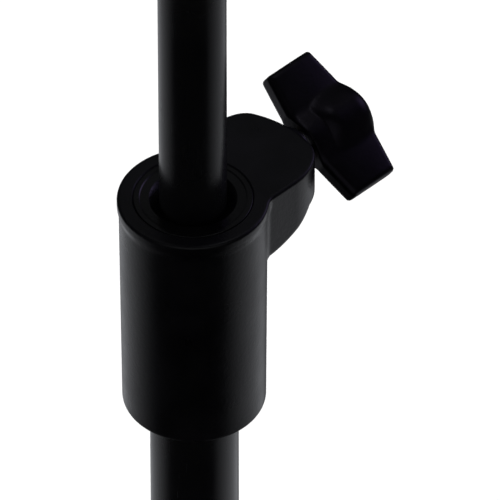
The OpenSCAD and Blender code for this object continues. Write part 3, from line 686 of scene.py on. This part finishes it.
def root_field(x, y, z):
    """Casting between the ears: eye, heel that stops the open leg, shank and stub."""
    s, w = along_leg(x, z)
    q = np.hypot(w, y)
    dx, dz = x - PIVOT.x, z - PIVOT.z
    shank = rounded_max(np.maximum(np.abs(w) - ROOT_HALF, np.maximum(-s, s - ROOT_LEN)),
                        q - LEG_R - ROOT_TAPER * (ROOT_LEN - s), 1.5)
    # The heel's outer face slants, and its underside runs through the pivot
    heel = rounded_max(rounded_max(HUB_R + HEEL_GAP - PIVOT.x - dx, dz - HEEL_TOP, 1.2),
                       np.maximum(0.8 * dx + 0.6 * dz - HEEL_OUT, -0.197 * dx - 0.98 * dz), 1.2)
    side = rounded_min(rounded_min(np.hypot(s, w) - EYE_R, shank, 2.0), heel, 2.5)
    body = rounded_max(side, np.abs(y) - ROOT_HALF, 1.2)
    body = np.minimum(body, np.maximum(q - LEG_R + (LEG_WALL + FIT),
                                       np.maximum(STUB_START - s, s - ROOT_LEN - STUB_LEN)))
    return rounded_max(body, PIVOT_HOLE_R - np.hypot(s, w), 0.4)


def hub_field(x, y, z):
    """Barrel on the lower tube's foot with three pairs of ears."""
    r = np.hypot(x, y)
    body = rounded_max(r - HUB_R, np.abs(z - HUB_Z - HUB_H / 2) - HUB_H / 2, 1.5)
    pins = np.full_like(r, NOWHERE)
    slots = np.full_like(r, NOWHERE)
    for turn in LEG_TURNS.values():
        a = x * math.cos(turn) + y * math.sin(turn)
        b = np.abs(y * math.cos(turn) - x * math.sin(turn))
        eye = np.hypot(a - PIVOT.x, z - PIVOT.z)
        plate = np.minimum(eye - EAR_R, np.maximum(
            np.abs(z - PIVOT.z) - EAR_R, np.maximum(HUB_R - EAR_ROOT - a, a - PIVOT.x)))
        body = rounded_min(body, rounded_max(plate, np.abs(b - EAR_MIDDLE) - EAR_HALF, 0.9), 2.4)
        slots = np.minimum(slots, np.maximum(np.maximum(b - SLOT_HALF, HUB_R - r), -a))
        pins = np.minimum(pins, np.where(a > 0, eye - PIN_HOLE_R, NOWHERE))
    body = np.maximum(body, -slots)
    body = rounded_max(body, -np.maximum(r - LOWER_R - FIT, HUB_Z + HUB_FLOOR - z), 0.5)
    return rounded_max(rounded_max(body, HUB_BOLT_R - r, 0.4), -pins, 0.4)


def skin_in_box(name, field, node, step):
    """Skin of a field inside a CAD node's box."""
    low, high = (list(corner / MM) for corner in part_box(node))
    return skin(name, field, low, high, step)


def make_base():
    hub = new_object("base_hub_cast", skin_in_box("base_hub_cast", hub_field, "base_hub", 0.9))
    dress(smoothed(hub, 40), "base_hub", "base")
    for kind, field, step in (("leg_root", root_field, 0.6), ("leg_foot", foot_field, 0.5)):
        mesh = skin_in_box(kind + "_skin", field, kind + "_1", step)
        for i, turn in LEG_TURNS.items():
            obj = smoothed(new_object(f"{kind}_{i}_skin", mesh.copy()), 40)
            obj.data.transform(Matrix.Rotation(turn, 4, "Z"))
            dress(obj, f"{kind}_{i}", f"leg_{i}")


make_base()


# ---- tubes ----

DEBURR = 0.35
GUIDE_PIN_R, GUIDE_PIN_UP = 1.55, 20


def make_tube(node, body, radius, wall, low, high, matrix=None, cutters=(), look=None):
    """Drawn tube with its ends deburred, between two heights along its own axis."""
    corners = [(radius, low), (radius, high), (radius - wall, high), (radius - wall, low)]
    obj = new_object(node + "_drawn", turned(node + "_drawn", eased(corners, [DEBURR] * 4, 3), 144))
    bored(obj, cutters)
    if matrix:
        obj.data.transform(matrix)
    dress(smoothed(obj), node, body, look)


low, high = (corner.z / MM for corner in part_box("upper_tube"))
make_tube("upper_tube", "mast", UPPER_R, UPPER_WALL, low, high,
          cutters=[bar(GUIDE_PIN_R, -2 * UPPER_R, 2 * UPPER_R, low + GUIDE_PIN_UP)])
low, high = (corner.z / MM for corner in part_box("lower_tube"))
make_tube("lower_tube", "base", LOWER_R, LOWER_WALL, low, high, look=glossy_coat)
for i, turn in LEG_TURNS.items():
    make_tube(f"leg_tube_{i}", f"leg_{i}", LEG_R, LEG_WALL, ROOT_LEN + FIT,
              LEG_LEN - (TUBE_STOP + FIT),
              Matrix.Rotation(turn, 4, "Z") @ Matrix.Translation(PIVOT * MM)
              @ Matrix.Rotation(LEG_SLOPE + math.pi / 2, 4, "Y"))


# ---- tilt head ----

TILT_UP = (TILT_Z - MAST_TOP) / MM
SOCKET_R = UPPER_R + 4.55
SOCKET_DEPTH, SOCKET_RISE = 30, 4
TONGUE_R, TONGUE_HALF = 13, 6
HEAD_SCREW_R, HEAD_SCREW_DROP = 2.55, 16


def head_field(x, y, z):
    """Socket on the mast with a round tongue across it, from the mast's top upwards."""
    r = np.hypot(x, y)
    socket = rounded_max(r - SOCKET_R, np.maximum(-SOCKET_DEPTH - z, z - SOCKET_RISE), 1.4)
    eye = np.hypot(y, z - TILT_UP)
    plate = np.minimum(eye - TONGUE_R,
                       np.maximum(np.abs(y) - TONGUE_R, np.maximum(z - TILT_UP, -z)))
    tongue = rounded_max(np.maximum(plate, r - SOCKET_R), np.abs(x) - TONGUE_HALF, 1.0)
    body = np.maximum(rounded_min(socket, tongue, 3), r - SOCKET_R)
    body = rounded_max(body, -np.maximum(r - UPPER_R - FIT, z - FIT), 0.5)
    body = rounded_max(body, PIVOT_HOLE_R - eye, 0.4)
    return rounded_max(body, HEAD_SCREW_R - np.hypot(x, z + HEAD_SCREW_DROP), 0.3)


head = new_object("tilt_head_cast", skin(
    "tilt_head_cast", head_field, (-SOCKET_R, -SOCKET_R, -SOCKET_DEPTH),
    (SOCKET_R, SOCKET_R, TILT_UP + TONGUE_R), 0.6))
head.data.transform(Matrix.Translation((0, 0, MAST_TOP)))
dress(smoothed(head, 40), "tilt_head", "mast")


# ---- desk ----

on_desk = Matrix.Translation((0, 0, TILT_Z)) @ Matrix.Rotation(-DESK_LEAN, 4, "X")
DESK_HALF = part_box("desk_panel")[1].x / MM
SHEET = 1.2
BEND = 2.5
SHEET_EASE = 0.25
PANEL_FRONT, PANEL_LOW, PANEL_H = -39.2, -165, 340
PANEL_CORNER, PANEL_WALL = 28, 9.2
BEAD_IN, BEAD_R, BEAD_DEPTH = 60, 4.6, 3.0
BEAD_HALF = DESK_HALF - BEAD_IN
BRACKET_RIVET_X, BRACKET_RIVET_Z = 48, 30
LEDGE_RIVETS, LEDGE_RIVET_PITCH, LEDGE_RIVET_UP = 6, 92, 9
RIVET_HEAD_R, RIVET_R = 3.85, 2.05
LEDGE_DEPTH, LEDGE_CORNER = 57, 10
LIP_LOW, LIP_RISE = 2.9, 11.3   # the ledge's side walls, and how much higher its front lip is
LIP_START, LIP_RUN = 14, 6      # where they start to rise, before the front, and over what run
FLANGE_HALF, FLANGE_RUN, FLANGE_BEND, FLANGE_H = DESK_HALF - 12, 0.95, 1.5, 19.2


def lines(*stops):
    """Positions that run through (position, steps to get there) stops."""
    out = [stops[0][0]]
    for end, steps in stops[1:]:
        out += list(np.linspace(out[-1], end, steps + 1)[1:])
    return out


def tray(name, half, length, corner, across, up, wall, press=None, flange=None):
    """Folded sheet: a floor with a plain edge at v = 0 and walls bent up round its other edges.

    The outer face lies at w = 0. wall(v) gives the height of the wall, press(u, v) the depth of
    relief in the floor, and flange its half width, run, bend and height at the plain edge.
    """
    verts, faces = [], []
    inner = corner - BEND
    rows = [(v, half - BEND, (1.0, 0.0)) for v in up]
    for a in np.linspace(0, math.pi / 2, 12)[1:]:
        rows.append((length - corner + inner * math.sin(a), half - corner + inner * math.cos(a),
                     (math.cos(a), math.sin(a))))
    for v, reach, out in rows:
        for u in across:
            u = u * reach / (half - BEND)
            verts.append((u, v, press(u, v) if press else 0.0))
    count, wide = len(rows), len(across)
    faces += [(j * wide + i, j * wide + i + 1, (j + 1) * wide + i + 1, (j + 1) * wide + i)
              for j in range(count - 1) for i in range(wide - 1)]

    def fold(chain, outs, run, radius, heights):
        """Bends a strip up along a chain of corners, after a flat run outwards."""
        before = chain
        base = [verts[i] for i in chain]
        steps = [(run, 0.0)] if run else []
        steps += [(run + radius * math.sin(t), radius * (1 - math.cos(t)))
                  for t in np.linspace(0, math.pi / 2, 6)[1:]] + [(run + radius, None)]
        for reach, rise in steps:
            ring = []
            for (u, v, w), (a, b), height in zip(base, outs, heights):
                ring.append(len(verts))
                verts.append((u + a * reach, v + b * reach, height if rise is None else rise))
            faces.extend((before[k], before[k + 1], ring[k + 1], ring[k])
                         for k in range(len(chain) - 1))
            before = ring

    left = [(j * wide, (-rows[j][2][0], rows[j][2][1])) for j in range(count)]
    top = [((count - 1) * wide + i, (0.0, 1.0)) for i in range(1, wide - 1)]
    right = [(j * wide + wide - 1, rows[j][2]) for j in reversed(range(count))]
    chain, outs = zip(*(left + top + right))
    fold(chain, outs, 0, BEND, [wall(verts[i][1]) for i in chain])
    if flange:
        reach, run, radius, height = flange
        chain = [i for i, u in reversed(list(enumerate(across))) if abs(u) <= reach + TINY]
        fold(chain, [(0.0, -1.0)] * len(chain), run, radius, [height] * len(chain))
    mesh = bpy.data.meshes.new(name)
    mesh.from_pydata([tuple(c * MM for c in vert) for vert in verts], [],
                     [face[::-1] for face in faces])
    obj = new_object(name, mesh)
    thick = obj.modifiers.new("thick", "SOLIDIFY")
    thick.thickness = SHEET * MM
    thick.offset = -1
    thick.use_even_offset = True
    ease = obj.modifiers.new("ease", "BEVEL")
    ease.width = SHEET_EASE * MM
    ease.segments = 2
    ease.limit_method = "ANGLE"
    ease.angle_limit = math.radians(50)
    return applied(obj)


def bead_depth(u, v):
    """Two beads pressed into the panel from its front."""
    depth = 0.0
    for height in (BEAD_IN, PANEL_H - BEAD_IN):
        d = math.hypot(max(abs(u) - BEAD_HALF, 0), v - height)
        if d < BEAD_R:
            depth = BEAD_DEPTH / 2 + BEAD_DEPTH / 2 * math.cos(math.pi * d / BEAD_R)
    return depth


def rivet_holes():
    """Countersunk cutters for the rivets of the bracket and of the ledge."""
    places = [(x, z) for x in (-BRACKET_RIVET_X, BRACKET_RIVET_X)
              for z in (-BRACKET_RIVET_Z, BRACKET_RIVET_Z)]
    places += [((n - (LEDGE_RIVETS - 1) / 2) * LEDGE_RIVET_PITCH, PANEL_LOW + LEDGE_RIVET_UP)
               for n in range(LEDGE_RIVETS)]
    holes = bmesh.new()
    for x, z in places:
        hole = turned("hole", [(0, -0.5), (RIVET_HEAD_R, -0.5), (RIVET_HEAD_R, 0.05),
                               (RIVET_R, 0.95), (RIVET_R, 3), (0, 3)], 32)
        hole.transform(Matrix.Translation((x * MM, PANEL_FRONT * MM, z * MM))
                       @ Matrix.Rotation(-math.pi / 2, 4, "X"))
        holes.from_mesh(hole)
    return mesh_from(holes, "holes")


def make_panel():
    side = DESK_HALF - BEND
    turn, fine = 8, 7           # how far from a bead's end, and from its middle, the mesh is fine
    obj = tray("desk_panel_folded", DESK_HALF, PANEL_H, PANEL_CORNER,
               lines((-side, 0), (-BEAD_HALF - turn, 5), (turn - BEAD_HALF, 14),
                     (BEAD_HALF - turn, 40), (BEAD_HALF + turn, 14), (side, 5)),
               lines((0, 0), (BEAD_IN - fine, 7), (BEAD_IN + fine, 18),
                     (PANEL_H - BEAD_IN - fine, 14), (PANEL_H - BEAD_IN + fine, 18),
                     (PANEL_H - PANEL_CORNER, 4)),
               lambda v: PANEL_WALL, press=bead_depth)
    obj.data.transform(Matrix(((1, 0, 0, 0), (0, 0, 1, PANEL_FRONT * MM),
                               (0, 1, 0, PANEL_LOW * MM), (0, 0, 0, 1))))
    obj.data.flip_normals()
    bored(obj, [rivet_holes()])
    obj.data.transform(on_desk)
    dress(evened(smoothed(obj)), "desk_panel", "desk")


def make_ledge():
    side = DESK_HALF - BEND

    def wall(v):
        share = min(max((v - LEDGE_DEPTH + LIP_START) / LIP_RUN, 0), 1)
        return LIP_LOW + LIP_RISE * smoothstep(share)

    obj = tray("music_ledge_folded", DESK_HALF, LEDGE_DEPTH, LEDGE_CORNER,
               lines((-side, 0), (-FLANGE_HALF, 3), (FLANGE_HALF, 44), (side, 3)),
               lines((0, 0), (LEDGE_DEPTH - LIP_START - 2, 8), (LEDGE_DEPTH - LEDGE_CORNER, 8)),
               wall, flange=(FLANGE_HALF, FLANGE_RUN, FLANGE_BEND, FLANGE_H))
    obj.data.transform(Matrix(((1, 0, 0, 0), (0, -1, 0, PANEL_FRONT * MM),
                               (0, 0, 1, (PANEL_LOW - FIT - SHEET) * MM), (0, 0, 0, 1))))
    obj.data.flip_normals()
    obj.data.transform(on_desk)
    dress(evened(smoothed(obj)), "music_ledge", "desk")


make_panel()
make_ledge()


# ---- hardware ----

for node, body, width in (
        ("desk_bracket", "desk", 0.5), ("bracket_rivets", "desk", 0.2),
        ("ledge_rivets", "desk", 0.2), ("tilt_bolt", "desk", 0.3), ("knob_washer", "washer", 0.25),
        ("hub_bolt", "base", 0.5), ("hub_washer", "base", 0.25), ("leg_pins", "base", 0.3),
        ("leg_washers", "base", 0.15), ("clutch_set_screw", "base", 0.2),
        ("head_set_screws", "mast", 0.2), ("friction_washers", "mast", 0.15),
        ("clamp_screw", "clamp", 0.4)):
    dress(softened(node, width), node, body)


# ---- stage and light ----
# What polished black shows of the studio, fixed in space. Distances are in metres from the column.

# Brightness of the white sweep on the floor, from the dark flag before the column (-1) to its
# back (1)
SWEEP = ((-0.80, 0.003), (-0.55, 0.014), (-0.30, 0.19), (0.10, 0.41), (0.50, 0.56), (0.82, 0.72),
         (0.93, 0.24), (1.0, 0.04))
SWEEP_TINT = (0.93, 0.95, 1.0)
FLAG_TURN = math.radians(-8)    # the flag stands a little left of the player
RIGHT_MORE = ((0.65, 0.28), (0.73, 0.08))   # how much brighter it is on the right, by distance
LEFT_LESS = 0.2
# Brightness by distance: the lamps light a ring of the floor
RING = ((0, 0.1), (0.38, 0.2), (0.53, 1.05), (0.65, 1.0), (0.73, 0.82), (0.95, 0.82), (1.25, 0.2),
        (1.6, 0.06), (2, 0.05))
# Part of the white behind the floor shows through it, by distance, and so does a folded leg
FLOOR_CLEAR = ((1.0, 0.68), (4.0, 0.87))
FLOOR_SIZE = 60
FAR = 0.05                      # what is left of the sweep at the horizon
FAR_RISE = ((0, FAR), (0.25, 0.8 * FAR), (0.6, 0))
# Brightness round three directions, by the share of a ray that lies along each
HIGH = (0.06, 0.3, 0.952)       # the ceiling, with a small bright lamp in it
HIGH_GLOW = ((-1, 0.003), (0.62, 0.006), (0.765, 0.03), (0.86, 0.09), (0.91, 0.07), (0.985, 0.1),
             (1, 1.0))
FRONT = (0, -0.9, 0.436)        # the wall behind the player
FRONT_GLOW = ((0.55, 0), (0.85, 0.12), (1, 0.2))
PANE = (0.77, 0.51, 0.385)      # a violet pane at the back on the right
PANE_GLOW = ((0.84, 0), (0.95, 0.16), (1, 0.9))
PANE_TINT = (0.62, 0.5, 1.0)
WHITE = (1, 1, 1)
ROOM = 0.3                      # even light on everything


class Pattern:
    """Brightness in space, built from plain nodes in the tree of the floor or of the world."""

    def __init__(self, tree, place):
        self.tree = tree
        self.place = place

    def node(self, kind, *inputs, **values):
        """Outputs of a new node with those inputs, links or numbers, and those settings."""
        made = self.tree.nodes.new(kind)
        for name, value in values.items():
            setattr(made, name, value)
        for socket, value in zip(made.inputs, inputs):
            if hasattr(value, "links"):
                self.tree.links.new(value, socket)
            else:
                socket.default_value = value
        return made.outputs

    def share(self, vector, direction):
        """Share of a vector's direction that lies along a unit direction, from -1 to 1."""
        unit = self.node("ShaderNodeVectorMath", vector, operation="NORMALIZE")["Vector"]
        return self.node("ShaderNodeVectorMath", unit, direction, operation="DOT_PRODUCT")["Value"]

    def flat(self):
        """The place within the horizontal plane."""
        return self.node("ShaderNodeVectorMath", self.place, (1, 1, 0),
                         operation="MULTIPLY")["Vector"]

    def curve(self, value, stops):
        """Brightness that runs through (value, brightness) stops."""
        low, high = stops[0][0], stops[-1][0]
        share = self.node("ShaderNodeMapRange", value, float(low), float(high))["Result"]
        made = self.tree.nodes.new("ShaderNodeValToRGB")
        elements = made.color_ramp.elements
        while len(elements) < len(stops):
            elements.new(0.5)
        for element, (position, bright) in zip(elements, stops):
            element.position = (position - low) / (high - low)
            element.color = (bright, bright, bright, 1)
        self.tree.links.new(share, made.inputs[0])
        return self.times(made.outputs["Color"], 1.0)

    def glow(self, direction, stops):
        """Brightness round a direction."""
        return self.curve(self.share(self.place, direction), stops)

    def ring(self, stops):
        """Brightness by distance from the column."""
        reach = self.node("ShaderNodeVectorMath", self.flat(), operation="LENGTH")["Value"]
        return self.curve(reach, stops)

    def times(self, a, b):
        return self.node("ShaderNodeMath", a, b, operation="MULTIPLY")[0]

    def plus(self, a, b):
        return self.node("ShaderNodeMath", a, b, operation="ADD")[0]

    def sweep(self, more=0.0):
        """The white sweep by direction, brighter by more on the right."""
        back = (-math.sin(FLAG_TURN), math.cos(FLAG_TURN), 0)
        side = self.node("ShaderNodeMath", self.share(self.flat(), (1, 0, 0)),
                         self.plus(more, -LEFT_LESS), 1.0, operation="MULTIPLY_ADD")[0]
        return self.times(self.curve(self.share(self.flat(), back), SWEEP), side)


def shader(tree, kind, colour):
    made = tree.nodes.new(kind)
    made.inputs["Color"].default_value = (*colour, 1)
    return made


def added(tree, a, b):
    both = tree.nodes.new("ShaderNodeAddShader")
    tree.links.new(a.outputs[0], both.inputs[0])
    tree.links.new(b.outputs[0], both.inputs[1])
    return both


def by_ray(tree, camera, glossy, other):
    """Shader that differs for camera rays, for mirrored or refracted rays, and for the rest."""
    path = tree.nodes.new("ShaderNodeLightPath")
    mirrored = tree.nodes.new("ShaderNodeMath")
    mirrored.operation = "MAXIMUM"
    tree.links.new(path.outputs["Is Glossy Ray"], mirrored.inputs[0])
    tree.links.new(path.outputs["Is Transmission Ray"], mirrored.inputs[1])
    last = other
    for factor, kind in ((mirrored.outputs[0], glossy), (path.outputs["Is Camera Ray"], camera)):
        mix = tree.nodes.new("ShaderNodeMixShader")
        tree.links.new(factor, mix.inputs[0])
        tree.links.new(last.outputs[0], mix.inputs[1])
        tree.links.new(kind.outputs[0], mix.inputs[2])
        last = mix
    return last.outputs[0]


def make_floor():
    """Pale half-clear floor that takes the object's shadow and meets the white world."""
    form = bmesh.new()
    bmesh.ops.create_grid(form, x_segments=1, y_segments=1, size=FLOOR_SIZE)
    floor = new_object("floor", mesh_from(form, "floor"))
    material = bpy.data.materials.new("floor")
    material.use_nodes = True
    tree = material.node_tree
    tree.nodes.clear()
    pattern = Pattern(tree, tree.nodes.new("ShaderNodeNewGeometry").outputs["Position"])
    diffuse = shader(tree, "ShaderNodeBsdfDiffuse", (0.8, 0.8, 0.8))
    matt = shader(tree, "ShaderNodeBsdfDiffuse", (0.5, 0.5, 0.5))
    through = tree.nodes.new("ShaderNodeBsdfTransparent")
    tree.links.new(pattern.ring(FLOOR_CLEAR), through.inputs["Color"])
    glow = shader(tree, "ShaderNodeEmission", SWEEP_TINT)
    tree.links.new(pattern.times(pattern.sweep(pattern.ring(RIGHT_MORE)), pattern.ring(RING)),
                   glow.inputs["Strength"])
    out = tree.nodes.new("ShaderNodeOutputMaterial")
    tree.links.new(by_ray(tree, added(tree, matt, through), glow, diffuse), out.inputs["Surface"])
    floor.data.materials.append(material)


def make_world():
    """White to the camera, dim and even as light; mirrored, a white sweep round a dark room."""
    world = bpy.data.worlds.new("world")
    scene.world = world
    world.use_nodes = True
    tree = world.node_tree
    pattern = Pattern(tree, tree.nodes.new("ShaderNodeTexCoord").outputs["Generated"])
    room = tree.nodes["Background"]
    room.inputs["Color"].default_value = (*WHITE, 1)
    room.inputs["Strength"].default_value = ROOM
    white = shader(tree, "ShaderNodeBackground", WHITE)
    mirrored = shader(tree, "ShaderNodeBackground", SWEEP_TINT)
    low = pattern.times(pattern.glow((0, 0, 1), FAR_RISE), pattern.sweep())
    high = pattern.plus(pattern.glow(HIGH, HIGH_GLOW), pattern.glow(FRONT, FRONT_GLOW))
    tree.links.new(pattern.plus(low, high), mirrored.inputs["Strength"])
    pane = shader(tree, "ShaderNodeBackground", PANE_TINT)
    tree.links.new(pattern.glow(PANE, PANE_GLOW), pane.inputs["Strength"])
    tree.links.new(by_ray(tree, white, added(tree, mirrored, pane), room),
                   tree.nodes["World Output"].inputs["Surface"])


def softbox(name, position, size, power, target=(0, 0, 0.6)):
    """Lamp in watts, hidden from the camera and from mirrors, that points at the target."""
    data = bpy.data.lights.new(name, "AREA")
    data.shape = "RECTANGLE"
    data.size, data.size_y = size
    data.energy = power
    lamp = bpy.data.objects.new(name, data)
    lamp.location = position
    lamp.rotation_euler = (Vector(target) - Vector(position)).to_track_quat("-Z", "Y").to_euler()
    lamp.visible_camera = False
    lamp.visible_glossy = False
    scene.collection.objects.link(lamp)


make_floor()
make_world()
softbox("left", (-2.2, 0.5, 1.0), (0.8, 1.2), 18)
softbox("right", (2.2, 0.6, 0.8), (0.8, 1.2), 18)
softbox("top", (0.6, 0.9, 3.0), (0.5, 0.5), 20)
softbox("desk", (0, -0.6, 2.5), (0.7, 0.4), 14, target=(0, -0.05, 1.05))
